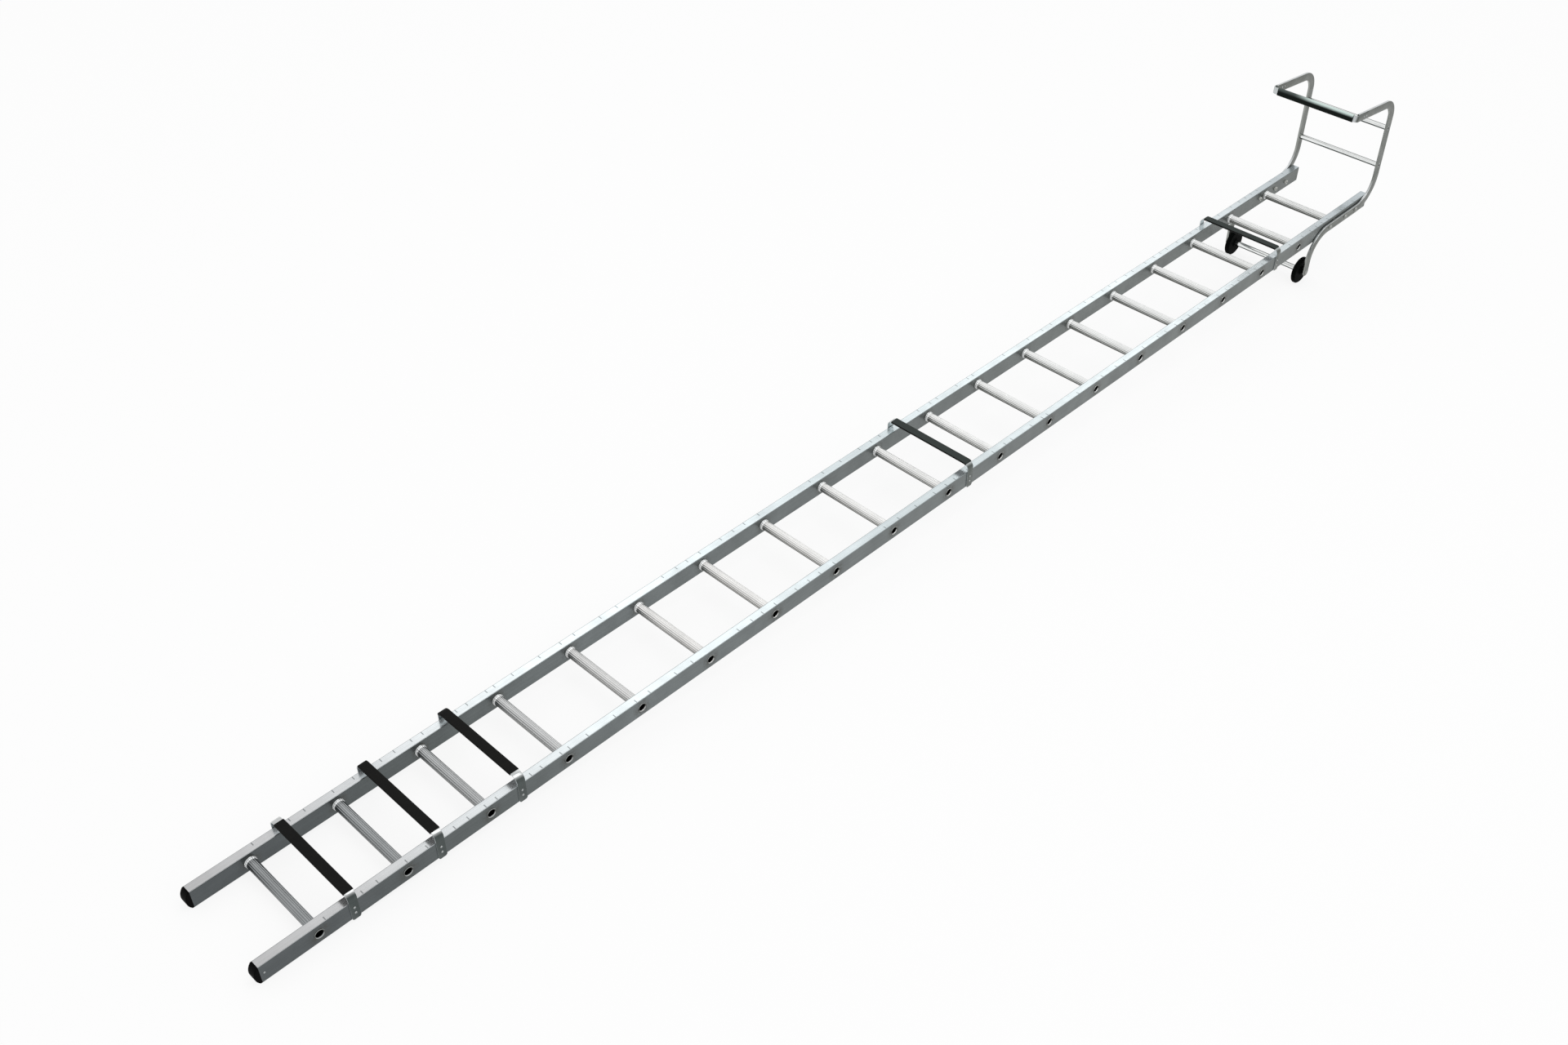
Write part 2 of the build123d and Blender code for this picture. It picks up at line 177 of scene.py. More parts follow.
def bare_metal(
    name,
    tops,
    sides,
    under,
    roughness,
    line_mm,
    line_stretch,
    cloud_mm,
    clouding=0.12,
    rougher_sides=0.1,
    turn=(-0.2, 0.7),
    metallic=1.0,
):
    """Bare metal with a tone each for the tops, the sides, and what looks down or ahead: lit and
    shaded copies of one metal, which paint light and shade. A tone is a list of steps along the
    ladder, each a place in mm and its colour. The value of rougher_sides is added to the roughness
    of the sides. Oxide clouds the metal, and drawing or rolling leaves lines on it."""
    material = bpy.data.materials.new(name)
    material.use_nodes = True
    tree = material.node_tree
    tree.nodes.clear()
    coordinates = add_node(tree, "ShaderNodeTexCoord").outputs
    spot = add_node(
        tree,
        "ShaderNodeMapping",
        {
            "Vector": coordinates["Object"],
            "Rotation": (-lean, 0, 0),
            "Location": -(Matrix.Rotation(-lean, 3, "X") @ first_rung),
        },
        name="spot",
    ).outputs["Vector"]
    tone, sideways = paint_light_by_facing(tree, coordinates["Normal"], spot, (tops, sides, under), turn)
    clouds = add_node(
        tree,
        "ShaderNodeTexNoise",
        {"Vector": spot, "Scale": 1 / (cloud_mm * MM), "Detail": 4.0, "Roughness": 0.55},
    ).outputs["Fac"]
    drawn = add_node(
        tree,
        "ShaderNodeMapping",
        {"Vector": spot, "Scale": [1 / (line_mm * MM * stretch) for stretch in line_stretch]},
    ).outputs["Vector"]
    lines = add_node(
        tree,
        "ShaderNodeTexNoise",
        {"Vector": drawn, "Scale": 1.0, "Detail": 2.0, "Roughness": 0.6},
    ).outputs["Fac"]
    oxide = add_node(
        tree,
        "ShaderNodeMapRange",
        {
            "Value": clouds,
            "From Min": 0.3,
            "From Max": 0.7,
            "To Min": 1 - clouding,
            "To Max": 1 + clouding / 3,
        },
    ).outputs["Result"]
    streaks = add_node(
        tree,
        "ShaderNodeMapRange",
        {"Value": lines, "From Min": 0.3, "From Max": 0.7, "To Min": 0.94, "To Max": 1.02},
    ).outputs["Result"]
    shade = add_node(tree, "ShaderNodeMath", {0: oxide, 1: streaks}, operation="MULTIPLY")
    colour = add_node(
        tree,
        "ShaderNodeMix",
        {0: 1.0, 6: tone, 7: shade.outputs[0]},
        data_type="RGBA",
        blend_type="MULTIPLY",
    ).outputs[2]
    worn = add_node(
        tree,
        "ShaderNodeMapRange",
        {
            "Value": clouds,
            "From Min": 0.3,
            "From Max": 0.7,
            "To Min": roughness + 0.04,
            "To Max": roughness - 0.04,
        },
    ).outputs["Result"]
    rough = add_node(
        tree, "ShaderNodeMath", {0: sideways, 1: rougher_sides, 2: worn}, operation="MULTIPLY_ADD"
    )
    relief = add_node(
        tree,
        "ShaderNodeBump",
        {"Height": lines, "Strength": 1.0, "Distance": 0.02 * MM},
        name="relief",
    )
    surface = add_node(
        tree,
        "ShaderNodeBsdfPrincipled",
        {
            "Base Color": colour,
            "Roughness": rough.outputs[0],
            "Metallic": metallic,
            "Normal": relief.outputs["Normal"],
        },
        name="surface",
    )
    add_node(tree, "ShaderNodeOutputMaterial", {"Surface": surface.outputs["BSDF"]})
    return material


def dress(node, material):
    """Gives a carried-over CAD node its finish."""
    mesh = nodes[node].data
    mesh.materials.clear()
    mesh.materials.append(material)


# Mill finish: satin, cool grey, with long streaks from the die under a thin skin of oxide that
# scatters some of the light. The streaks are drawn a few millimetres wide, coarser than real
# ones, so that they show.
# Its tones for the tops, the sides and the faces below paint light and shade.
stile_metal = bare_metal(
    "mill_finish_aluminium_extrusion",
    tops=STILE_TOPS,
    sides=STILE_SIDES,
    under=STILE_UNDER,
    roughness=0.2,
    line_mm=6.0,
    line_stretch=(1, 260, 1),
    cloud_mm=70,
    clouding=0.1,
    rougher_sides=0.14,
    metallic=0.8,
)


def smudge_rings(tree):
    """Adds the smudged and slightly dished ring round the end of each rung."""
    surface = tree.nodes["surface"]
    plain = surface.inputs["Base Color"].links[0].from_socket
    spot = tree.nodes["spot"].outputs["Vector"]
    where = add_node(tree, "ShaderNodeSeparateXYZ", {"Vector": spot}).outputs
    past = add_node(
        tree, "ShaderNodeMath", {0: where["Y"], 1: pitch / 2}, operation="PINGPONG"
    ).outputs[0]
    flat_spot = add_node(tree, "ShaderNodeCombineXYZ", {"X": past, "Y": where["Z"]})
    radius = add_node(
        tree, "ShaderNodeVectorMath", {0: flat_spot.outputs[0]}, operation="LENGTH"
    ).outputs["Value"]
    ring = add_node(
        tree,
        "ShaderNodeMapRange",
        {
            "Value": radius,
            "From Min": SMUDGE_INNER_RADIUS * MM,
            "From Max": SMUDGE_OUTER_RADIUS * MM,
            "To Min": 1,
            "To Max": 0,
        },
        interpolation_type="SMOOTHSTEP",
    ).outputs["Result"]
    smears = add_node(
        tree,
        "ShaderNodeTexNoise",
        {"Vector": spot, "Scale": 1 / (SMEAR_SIZE * MM), "Detail": 4.0, "Roughness": 0.65},
    ).outputs["Fac"]
    patchy = add_node(
        tree,
        "ShaderNodeMapRange",
        {"Value": smears, "From Min": 0.35, "From Max": 0.65, "To Min": 0.0, "To Max": 0.6},
    ).outputs["Result"]
    sideways = tree.nodes["sideways"].outputs["Result"]
    smudge = add_node(tree, "ShaderNodeMath", {0: ring, 1: patchy}, operation="MULTIPLY")
    smudge = add_node(
        tree, "ShaderNodeMath", {0: smudge.outputs[0], 1: sideways}, operation="MULTIPLY"
    )
    smudged = add_node(
        tree,
        "ShaderNodeMix",
        {0: smudge.outputs[0], 6: plain, 7: linear(SMUDGE_COLOUR)},
        data_type="RGBA",
    ).outputs[2]
    tree.links.new(smudged, surface.inputs["Base Color"])
    dish = add_node(
        tree,
        "ShaderNodeBump",
        {
            "Height": ring,
            "Strength": 1.0,
            "Distance": DISH_DEPTH * MM,
            "Normal": tree.nodes["relief"].outputs["Normal"],
        },
    )
    tree.links.new(dish.outputs["Normal"], surface.inputs["Normal"])


def tool_marks(tree, along_stile):
    """One thin mark in most stretches of the stile, somewhere else within each of them."""
    steps = add_node(
        tree, "ShaderNodeMath", {0: along_stile, 1: TICK_SPACING * MM}, operation="DIVIDE"
    ).outputs[0]
    cell = add_node(tree, "ShaderNodeMath", {0: steps}, operation="FLOOR").outputs[0]
    chance = add_node(
        tree, "ShaderNodeTexWhiteNoise", {"W": cell}, noise_dimensions="1D"
    ).outputs["Value"]
    marked = add_node(
        tree, "ShaderNodeMath", {0: chance, 1: TICKS_LEFT_OUT}, operation="GREATER_THAN"
    ).outputs[0]
    within = add_node(tree, "ShaderNodeMath", {0: steps}, operation="FRACT").outputs[0]
    somewhere = add_node(
        tree, "ShaderNodeMath", {0: chance, 1: 0.8, 2: 0.05}, operation="MULTIPLY_ADD"
    ).outputs[0]
    line = add_node(
        tree,
        "ShaderNodeMath",
        {0: within, 1: somewhere, 2: TICK_WIDTH / TICK_SPACING / 2},
        operation="COMPARE",
    ).outputs[0]
    return add_node(tree, "ShaderNodeMath", {0: marked, 1: line}, operation="MULTIPLY").outputs[0]


def line_tops(tree):
    """Adds the tool marks across the outer half of the tops, and the dark lines along their
    rounded corners."""
    surface = tree.nodes["surface"]
    plain = surface.inputs["Base Color"].links[0].from_socket
    spot = tree.nodes["spot"].outputs["Vector"]
    where = add_node(tree, "ShaderNodeSeparateXYZ", {"Vector": spot}).outputs
    stile_middle = middle("stile_right").x
    reach = add_node(tree, "ShaderNodeMath", {0: where["X"]}, operation="ABSOLUTE").outputs[0]
    outer = add_node(
        tree, "ShaderNodeMath", {0: reach, 1: stile_middle}, operation="GREATER_THAN"
    ).outputs[0]
    tick = add_node(
        tree,
        "ShaderNodeMath",
        {0: tool_marks(tree, where["Y"]), 1: outer},
        operation="MULTIPLY",
    )
    off_middle = add_node(
        tree, "ShaderNodeMath", {0: reach, 1: stile_middle}, operation="SUBTRACT"
    )
    off_middle = add_node(
        tree, "ShaderNodeMath", {0: off_middle.outputs[0]}, operation="ABSOLUTE"
    )
    corner = add_node(
        tree,
        "ShaderNodeMath",
        {0: off_middle.outputs[0], 1: ((outer_face - inner_face) / 2 - CORNER_LINE) * MM},
        operation="GREATER_THAN",
    )
    drawn = add_node(
        tree, "ShaderNodeMath", {0: tick.outputs[0], 1: corner.outputs[0]}, operation="MAXIMUM"
    )
    sideways = tree.nodes["sideways"].outputs["Result"]
    top = add_node(tree, "ShaderNodeMath", {0: 0.65, 1: sideways}, operation="SUBTRACT")
    top = add_node(
        tree,
        "ShaderNodeMath",
        {0: top.outputs[0], 1: drawn.outputs[0]},
        operation="MULTIPLY",
        use_clamp=True,
    )
    lined = add_node(
        tree,
        "ShaderNodeMix",
        {0: top.outputs[0], 6: plain, 7: linear(LINE_COLOUR)},
        data_type="RGBA",
    ).outputs[2]
    tree.links.new(lined, surface.inputs["Base Color"])


smudge_rings(stile_metal.node_tree)
line_tops(stile_metal.node_tree)
for side in ("left", "right"):
    dress(f"stile_{side}", stile_metal)

# The rungs: fluted aluminium tubes. Each is swaged on both sides of the stile, into a double
# collar inside, which the flutes run up to, and into a flared rim outside.
FLUTES = 16
FLUTE_STEPS = 6
RUNG_RADIUS = 15.0
RUNG_BORE = 12.0
RUNG_NECK = 13.5
RUNG_RIM = 14.6
RUNG_MOUTH = 10.4
COLLAR_RADIUS = 17.3
COLLAR_DEPTH = 8.0
rung_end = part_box("rung_01")[1].x / MM


def rung_profile():
    """Distance from the middle, radius and flute depth along half of a rung, out to its rim
    and a little way back into its bore, where the depth is the strength of the painted shade
    there."""
    return [
        (0.0, RUNG_RADIUS, 1.0),
        (inner_face - 14.0, RUNG_RADIUS, 1.0),
        (inner_face - 9.0, RUNG_RADIUS + 0.2, 1.0),
        (inner_face - 6.6, RUNG_RADIUS + 0.9, 1.1),
        (inner_face - 6.0, RUNG_RADIUS + 1.7, 1.1),
        (inner_face - 5.2, COLLAR_RADIUS, 1.0),
        (inner_face - 4.2, COLLAR_RADIUS, 0.9),
        (inner_face - 3.4, COLLAR_RADIUS - 1.1, 0.8),
        (inner_face - 2.8, COLLAR_RADIUS - 1.1, 0.8),
        (inner_face - 2.1, COLLAR_RADIUS, 0.7),
        (inner_face - 1.0, COLLAR_RADIUS + 0.3, 0.5),
        (inner_face - 0.1, COLLAR_RADIUS, 0.2),
        (inner_face, RUNG_NECK, 0.0),
        (outer_face, RUNG_NECK, 0.0),
        (outer_face + 0.05, RUNG_RIM - 0.3, 0.0),
        (outer_face + 0.4, RUNG_RIM, 0.0),
        (rung_end - 0.3, RUNG_RIM - 0.1, 0.0),
        (rung_end, RUNG_RIM - 0.6, 0.0),
        (rung_end - 0.1, RUNG_MOUTH + 2.0, 0.0),
        (rung_end - 0.8, RUNG_MOUTH + 1.0, 0.3),
        (rung_end - 2.2, RUNG_MOUTH + 0.2, 1.4),
        (rung_end - 4.5, RUNG_MOUTH, 2.0),
        (rung_end - 8.0, RUNG_BORE, 2.0),
    ]


def rung_mesh():
    """One rung. Each point keeps how deep it lies in a flute, how much painted shade it takes in
    the bore, and whether the swaging tool has rubbed it bright."""
    half = rung_profile()
    rings = [(-x, radius, depth) for x, radius, depth in reversed(half[1:])] + half
    steps = FLUTES * FLUTE_STEPS
    mesh = bmesh.new()
    groove_layer = mesh.verts.layers.float.new("groove")
    rubbed_layer = mesh.verts.layers.float.new("rubbed")
    loops = []
    for x, radius, depth in rings:
        loop = []
        for step in range(steps):
            turn = 2 * pi * step / steps
            inside = radius <= RUNG_BORE
            groove = depth if inside else depth * abs(cos(FLUTES * turn / 2)) ** 3
            out = (radius if inside else radius - groove) * MM
            corner = mesh.verts.new((x * MM, out * cos(turn), out * sin(turn)))
            corner[groove_layer] = groove
            corner[rubbed_layer] = inner_face - COLLAR_DEPTH < abs(x) < inner_face
            loop.append(corner)
        loops.append(loop)
    loops.append(loops[0])
    for one, two in zip(loops, loops[1:]):
        for step in range(steps):
            after = (step + 1) % steps
            mesh.faces.new((one[step], two[step], two[after], one[after]))
    bmesh.ops.recalc_face_normals(mesh, faces=mesh.faces)
    made = bpy.data.meshes.new("one_rung")
    mesh.to_mesh(made)
    mesh.free()
    made.polygons.foreach_set("use_smooth", [True] * len(made.polygons))
    made.set_sharp_from_angle(angle=radians(40))
    return made


# Drawn and fluted tube: light, satin ridges with grey oxide left in the flutes. Painted light and
# shade: the tops are painted light, and the tube painted darker underneath and at the foot of the
# ladder.
rung_metal = bare_metal(
    "fluted_aluminium_tube",
    tops=[
        (0, "#A6A9AA"),
        (260, "#AEB1B2"),
        (760, "#DDDEDE"),
        (1300, "#FBFAF8"),
        (3000, "#FEFFFE"),
    ],
    sides=[(0, "#B4B8B6")],
    under=[(0, "#6C6E70"), (760, "#8A8B8A"), (1500, "#B2AFAB"), (3000, "#DADDD9")],
    roughness=0.28,
    line_mm=5.0,
    line_stretch=(60, 1, 1),
    cloud_mm=40,
    clouding=0.06,
    rougher_sides=0.0,
    turn=(-0.35, 0.95),
)
# The flutes are darker toward the foot, where painted shade adds to the oxide. The underside and
# bore colours are painted shade.
FLUTES_LIGHTEN_FROM = 400.0
FLUTES_LIGHTER_AT = 1400.0
RUBBED_COLOUR = "#F1F3F3"
OXIDE_COLOUR = "#54575A"
UNDERSIDE_SHADE_COLOUR = "#4C4D4A"
BORE_SHADE_COLOUR = "#1C1D17"


def dull_flutes(tree):
    """Adds oxide in the flutes and painted shade underneath, less of both on the rubbed collars,
    and painted shade in the bore. The flutes are darkest at the foot of the ladder, where painted
    shade adds to the oxide."""
    surface = tree.nodes["surface"]
    plain = surface.inputs["Base Color"].links[0].from_socket
    depth = add_node(tree, "ShaderNodeAttribute", attribute_name="groove").outputs["Fac"]
    oxide = add_node(
        tree,
        "ShaderNodeMapRange",
        {"Value": depth, "From Min": 0.2, "From Max": 0.8},
        interpolation_type="SMOOTHSTEP",
    ).outputs["Result"]
    spot = tree.nodes["spot"].outputs["Vector"]
    reach = add_node(tree, "ShaderNodeSeparateXYZ", {"Vector": spot}).outputs["Y"]
    darkness = add_node(
        tree,
        "ShaderNodeMapRange",
        {
            "Value": reach,
            "From Min": FLUTES_LIGHTEN_FROM * MM,
            "From Max": FLUTES_LIGHTER_AT * MM,
            "To Min": 0.5,
            "To Max": 0.22,
        },
    ).outputs["Result"]
    rubbed = add_node(tree, "ShaderNodeAttribute", attribute_name="rubbed").outputs["Fac"]
    spared = add_node(
        tree, "ShaderNodeMapRange", {"Value": rubbed, "To Min": 1.0, "To Max": 0.35}
    ).outputs["Result"]
    left = add_node(tree, "ShaderNodeMath", {0: darkness, 1: spared}, operation="MULTIPLY")
    oxide = add_node(
        tree, "ShaderNodeMath", {0: oxide, 1: left.outputs[0]}, operation="MULTIPLY"
    ).outputs[0]
    outward = add_node(tree, "ShaderNodeTexCoord").outputs["Normal"]
    collared = add_node(
        tree,
        "ShaderNodeMix",
        {0: rubbed, 6: plain, 7: linear(RUBBED_COLOUR)},
        data_type="RGBA",
    ).outputs[2]
    fluted = add_node(
        tree,
        "ShaderNodeMix",
        {0: oxide, 6: collared, 7: linear(OXIDE_COLOUR)},
        data_type="RGBA",
    ).outputs[2]
    # Painted shade on the faces that look down, less on the rubbed collars.
    below = add_node(tree, "ShaderNodeSeparateXYZ", {"Vector": outward}).outputs["Z"]
    underside_shade = add_node(
        tree,
        "ShaderNodeMapRange",
        {"Value": below, "From Min": 0.3, "From Max": 0.0, "To Max": 0.95},
        interpolation_type="SMOOTHSTEP",
    ).outputs["Result"]
    underside_shade = add_node(
        tree, "ShaderNodeMath", {0: underside_shade, 1: spared}, operation="MULTIPLY"
    ).outputs[0]
    fluted = add_node(
        tree,
        "ShaderNodeMix",
        {0: underside_shade, 6: fluted, 7: linear(UNDERSIDE_SHADE_COLOUR)},
        data_type="RGBA",
    ).outputs[2]
    # Painted shade inside the bore.
    bore_shade = add_node(
        tree,
        "ShaderNodeMapRange",
        {"Value": depth, "From Min": 1.2, "From Max": 1.9},
    ).outputs["Result"]
    fluted = add_node(
        tree,
        "ShaderNodeMix",
        {0: bore_shade, 6: fluted, 7: linear(BORE_SHADE_COLOUR)},
        data_type="RGBA",
    ).outputs[2]
    tree.links.new(fluted, surface.inputs["Base Color"])


dull_flutes(rung_metal.node_tree)


def group_input(tree, name, kind):
    """Adds a named input to a geometry tree and returns its identifier."""
    return tree.interface.new_socket(name=name, in_out="INPUT", socket_type=kind).identifier


def settled(name, mesh, tree, inputs):
    """A plain mesh object made by running a geometry tree once on a mesh."""
    carrier = bpy.data.objects.new("carrier", mesh)
    bpy.context.scene.collection.objects.link(carrier)
    modifier = carrier.modifiers.new("row", "NODES")
    modifier.node_group = tree
    for identifier, value in inputs.items():
        modifier[identifier] = value
    bpy.context.view_layer.update()
    evaluated = carrier.evaluated_get(bpy.context.evaluated_depsgraph_get())
    made = bpy.data.objects.new(name, bpy.data.meshes.new_from_object(evaluated))
    bpy.context.scene.collection.objects.link(made)
    bpy.data.objects.remove(carrier)
    return made


def finish_copies(tree, copies, material):
    """Makes the copies of a geometry tree real, gives them their material and ends the tree."""
    real = add_node(tree, "GeometryNodeRealizeInstances", {"Geometry": copies})
    finished = add_node(
        tree,
        "GeometryNodeSetMaterial",
        {"Geometry": real.outputs["Geometry"], "Material": material},
    )
    add_node(tree, "NodeGroupOutput", {"Geometry": finished.outputs["Geometry"]})


def rung_row():
    """All rungs, as copies of one on a line of points through the stiles."""
    one = bpy.data.objects.new("one_rung", rung_mesh())
    tree = bpy.data.node_groups.new("rungs_on_a_line", "GeometryNodeTree")
    tree.interface.new_socket(name="Geometry", in_out="OUTPUT", socket_type="NodeSocketGeometry")
    inputs = {
        group_input(tree, "Rung", "NodeSocketObject"): one,
        group_input(tree, "Count", "NodeSocketInt"): len(rung_nodes),
        group_input(tree, "First rung", "NodeSocketVector"): first_rung,
        group_input(tree, "Step", "NodeSocketVector"): along * pitch,
        group_input(tree, "Finish", "NodeSocketMaterial"): rung_metal,
    }
    given = add_node(tree, "NodeGroupInput").outputs
    line = add_node(
        tree,
        "GeometryNodeMeshLine",
        {
            "Count": given["Count"],
            "Start Location": given["First rung"],
            "Offset": given["Step"],
        },
    )
    source = add_node(tree, "GeometryNodeObjectInfo", {"Object": given["Rung"]})
    copies = add_node(
        tree,
        "GeometryNodeInstanceOnPoints",
        {"Points": line.outputs["Mesh"], "Instance": source.outputs["Geometry"]},
    )
    finish_copies(tree, copies.outputs["Instances"], given["Finish"])
    row = settled("fluted_rungs", bpy.data.meshes.new("rung_line"), tree, inputs)
    bpy.data.objects.remove(one)
    return row


rungs = rung_row()
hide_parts(*rung_nodes)
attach(rungs, "frame")

# The foot caps: black rubber plugs with a domed sole, pushed into the stiles and held there by
# one blind rivet each in the outer side of the stile.
DUST_SIZE = 16.0
CAP_RIVET_FROM_RUNG = 149.0
CAP_RIVET_RADIUS = 2.8
CAP_RIVET_HEIGHT = 1.1
RIVET_STEPS = 20


def black_moulding(name, colour, worn, roughness, specular, grain_mm, stretch, relief_mm):
    """Black rubber or plastic, greyer and rougher where it is dusty or scuffed."""
    material = bpy.data.materials.new(name)
    material.use_nodes = True
    tree = material.node_tree
    tree.nodes.clear()
    coordinates = add_node(tree, "ShaderNodeTexCoord").outputs
    turned = add_node(
        tree,
        "ShaderNodeMapping",
        {"Vector": coordinates["Object"], "Rotation": (-lean, 0, 0)},
    ).outputs["Vector"]
    dust = add_node(
        tree,
        "ShaderNodeTexNoise",
        {"Vector": turned, "Scale": 1 / (DUST_SIZE * MM), "Detail": 6.0, "Roughness": 0.65},
    ).outputs["Fac"]
    dusty = add_node(
        tree,
        "ShaderNodeMapRange",
        {"Value": dust, "From Min": 0.45, "From Max": 0.75, "To Min": 0.0, "To Max": 0.7},
    ).outputs["Result"]
    tone = add_node(
        tree,
        "ShaderNodeMix",
        {0: dusty, 6: linear(colour), 7: linear(worn)},
        data_type="RGBA",
        name="tone",
    ).outputs[2]
    rough = add_node(
        tree,
        "ShaderNodeMapRange",
        {
            "Value": dust,
            "From Min": 0.3,
            "From Max": 0.7,
            "To Min": roughness - 0.06,
            "To Max": roughness + 0.08,
        },
    ).outputs["Result"]
    drawn = add_node(
        tree,
        "ShaderNodeMapping",
        {"Vector": turned, "Scale": [1 / (grain_mm * MM * factor) for factor in stretch]},
    ).outputs["Vector"]
    grain = add_node(
        tree, "ShaderNodeTexNoise", {"Vector": drawn, "Scale": 1.0, "Detail": 2.0}
    ).outputs["Fac"]
    relief = add_node(
        tree,
        "ShaderNodeBump",
        {"Height": grain, "Strength": 0.8, "Distance": relief_mm * MM},
    )
    surface = add_node(
        tree,
        "ShaderNodeBsdfPrincipled",
        {
            "Base Color": tone,
            "Roughness": rough,
            "Specular IOR Level": specular,
            "Normal": relief.outputs["Normal"],
        },
        name="surface",
    )
    add_node(tree, "ShaderNodeOutputMaterial", {"Surface": surface.outputs["BSDF"]})
    return material


# Moulded rubber: near black, matt, with a fine pebbled skin and grey scuffs.
cap_rubber = black_moulding(
    "moulded_black_rubber",
    colour="#060506",
    worn="#100F10",
    roughness=0.6,
    specular=0.03,
    grain_mm=2.5,
    stretch=(1, 1, 1),
    relief_mm=0.12,
)
for side in ("left", "right"):
    dress(f"foot_cap_{side}", cap_rubber)


def rivet_mesh():
    """A blind rivet's domed head, one unit in radius and height, with the dimple of its pin."""
    rings = [
        (1.0, -0.15),
        (1.0, 0.25),
        (0.86, 0.68),
        (0.62, 0.94),
        (0.4, 1.0),
        (0.34, 0.5),
    ]
    turns = [2 * pi * step / RIVET_STEPS for step in range(RIVET_STEPS)]
    mesh = bmesh.new()
    loops = []
    for radius, height in rings:
        loops.append(
            [mesh.verts.new((radius * cos(turn), radius * sin(turn), height)) for turn in turns]
        )
    for one, two in zip(loops, loops[1:]):
        for step in range(RIVET_STEPS):
            after = (step + 1) % RIVET_STEPS
            mesh.faces.new((one[step], one[after], two[after], two[step]))
    mesh.faces.new(loops[-1])
    mesh.faces.new(list(reversed(loops[0])))
    bmesh.ops.recalc_face_normals(mesh, faces=mesh.faces)
    made = bpy.data.meshes.new("one_rivet")
    mesh.to_mesh(made)
    mesh.free()
    made.polygons.foreach_set("use_smooth", [True] * len(made.polygons))
    made.set_sharp_from_angle(angle=radians(50))
    return made


# Bright, slightly rough aluminium, as turned and tumbled rivets are; its tops are painted light
# and the rest painted in shade.
rivet_metal = bare_metal(
    "tumbled_aluminium_rivet",
    tops=[(0, "#E4E6E6")],
    sides=[(0, "#A4A8A8")],
    under=[(0, "#7E8282")],
    roughness=0.25,
    line_mm=1.5,
    line_stretch=(1, 1, 1),
    cloud_mm=4,
    rougher_sides=0.0,
)


def set_rivets(name, places, radius, height):
    """Sets a rivet of this radius and height, in mm, at each place. A place is a point and the
    direction that the rivet's head faces."""
    one = bpy.data.objects.new("one_rivet", rivet_mesh())
    mesh = bpy.data.meshes.new("rivet_places")
    mesh.from_pydata([point for point, _ in places], [], [])
    facing = mesh.attributes.new("facing", "FLOAT_VECTOR", "POINT")
    facing.data.foreach_set("vector", [part for _, way in places for part in way])
    tree = bpy.data.node_groups.new("rivets_on_places", "GeometryNodeTree")
    tree.interface.new_socket(name="Geometry", in_out="OUTPUT", socket_type="NodeSocketGeometry")
    tree.interface.new_socket(name="Places", in_out="INPUT", socket_type="NodeSocketGeometry")
    inputs = {
        group_input(tree, "Rivet", "NodeSocketObject"): one,
        group_input(tree, "Head size", "NodeSocketVector"): (
            radius * MM,
            radius * MM,
            height * MM,
        ),
        group_input(tree, "Finish", "NodeSocketMaterial"): rivet_metal,
    }
    given = add_node(tree, "NodeGroupInput").outputs
    way = add_node(
        tree, "GeometryNodeInputNamedAttribute", {"Name": "facing"}, data_type="FLOAT_VECTOR"
    )
    turn = add_node(
        tree,
        "FunctionNodeAlignRotationToVector",
        {"Vector": way.outputs["Attribute"]},
        axis="Z",
    )
    source = add_node(tree, "GeometryNodeObjectInfo", {"Object": given["Rivet"]})
    copies = add_node(
        tree,
        "GeometryNodeInstanceOnPoints",
        {
            "Points": given["Places"],
            "Instance": source.outputs["Geometry"],
            "Rotation": turn.outputs["Rotation"],
            "Scale": given["Head size"],
        },
    )
    finish_copies(tree, copies.outputs["Instances"], given["Finish"])
    heads = settled(name, mesh, tree, inputs)
    bpy.data.objects.remove(one)
    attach(heads, "frame")


set_rivets(
    "foot_cap_rivets",
    [(place(sign * outer_face, -CAP_RIVET_FROM_RUNG, 0), (sign, 0, 0)) for sign in (-1, 1)],
    CAP_RIVET_RADIUS,
    CAP_RIVET_HEIGHT,
)

# The roof bearers: straps of bright flat aluminium bar with slightly rounded edges, bent up over
# both stiles and fixed to each with two blind rivets, one above the other.
BEARERS = sum(name.startswith("bearer_strap_") for name in nodes)
STRAP_EDGE = 0.5
STRAP_RIVET_HEIGHTS = (9.0, -9.5)
RIVET_RADIUS = 3.4
RIVET_HEIGHT = 1.6
WELD_DISTANCE = 0.002


def rounded_copy(node, name, material, edge_mm):
    """A copy of a CAD node that replaces it, with the small edge radius that its stock has."""
    mesh = bmesh.new()
    mesh.from_mesh(nodes[node].data)
    bmesh.ops.remove_doubles(mesh, verts=mesh.verts, dist=WELD_DISTANCE * MM)
    bmesh.ops.dissolve_limit(
        mesh, angle_limit=radians(0.5), verts=mesh.verts, edges=mesh.edges
    )
    made = bpy.data.meshes.new(name)
    mesh.to_mesh(made)
    mesh.free()
    made.materials.clear()
    made.materials.append(material)
    made.polygons.foreach_set("use_smooth", [True] * len(made.polygons))
    piece = bpy.data.objects.new(name, made)
    bpy.context.scene.collection.objects.link(piece)
    edges = piece.modifiers.new("edges", "BEVEL")
    edges.width = edge_mm * MM
    edges.segments = 3
    edges.limit_method = "ANGLE"
    edges.angle_limit = radians(35)
    edges.harden_normals = True
    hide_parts(node)
    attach(piece, "frame")


# Rolled flat bar: bright, satin, with rolling lines along the strap. Its tops and narrow edges are
# painted light and its wide sides painted dark, darkest at the foot, as light and shade.
strap_metal = bare_metal(
    "rolled_aluminium_flat_bar",
    tops=[(0, "#D3D5D5"), (4200, "#C6CCCC")],
    sides=[(0, "#4A5150"), (700, "#525857"), (2400, "#5E6461"), (4200, "#666A66")],
    under=[(0, "#C9CDCE")],
    roughness=0.2,
    line_mm=4.0,
    line_stretch=(30, 1, 30),
    cloud_mm=18,
    clouding=0.1,
    rougher_sides=0.1,
)


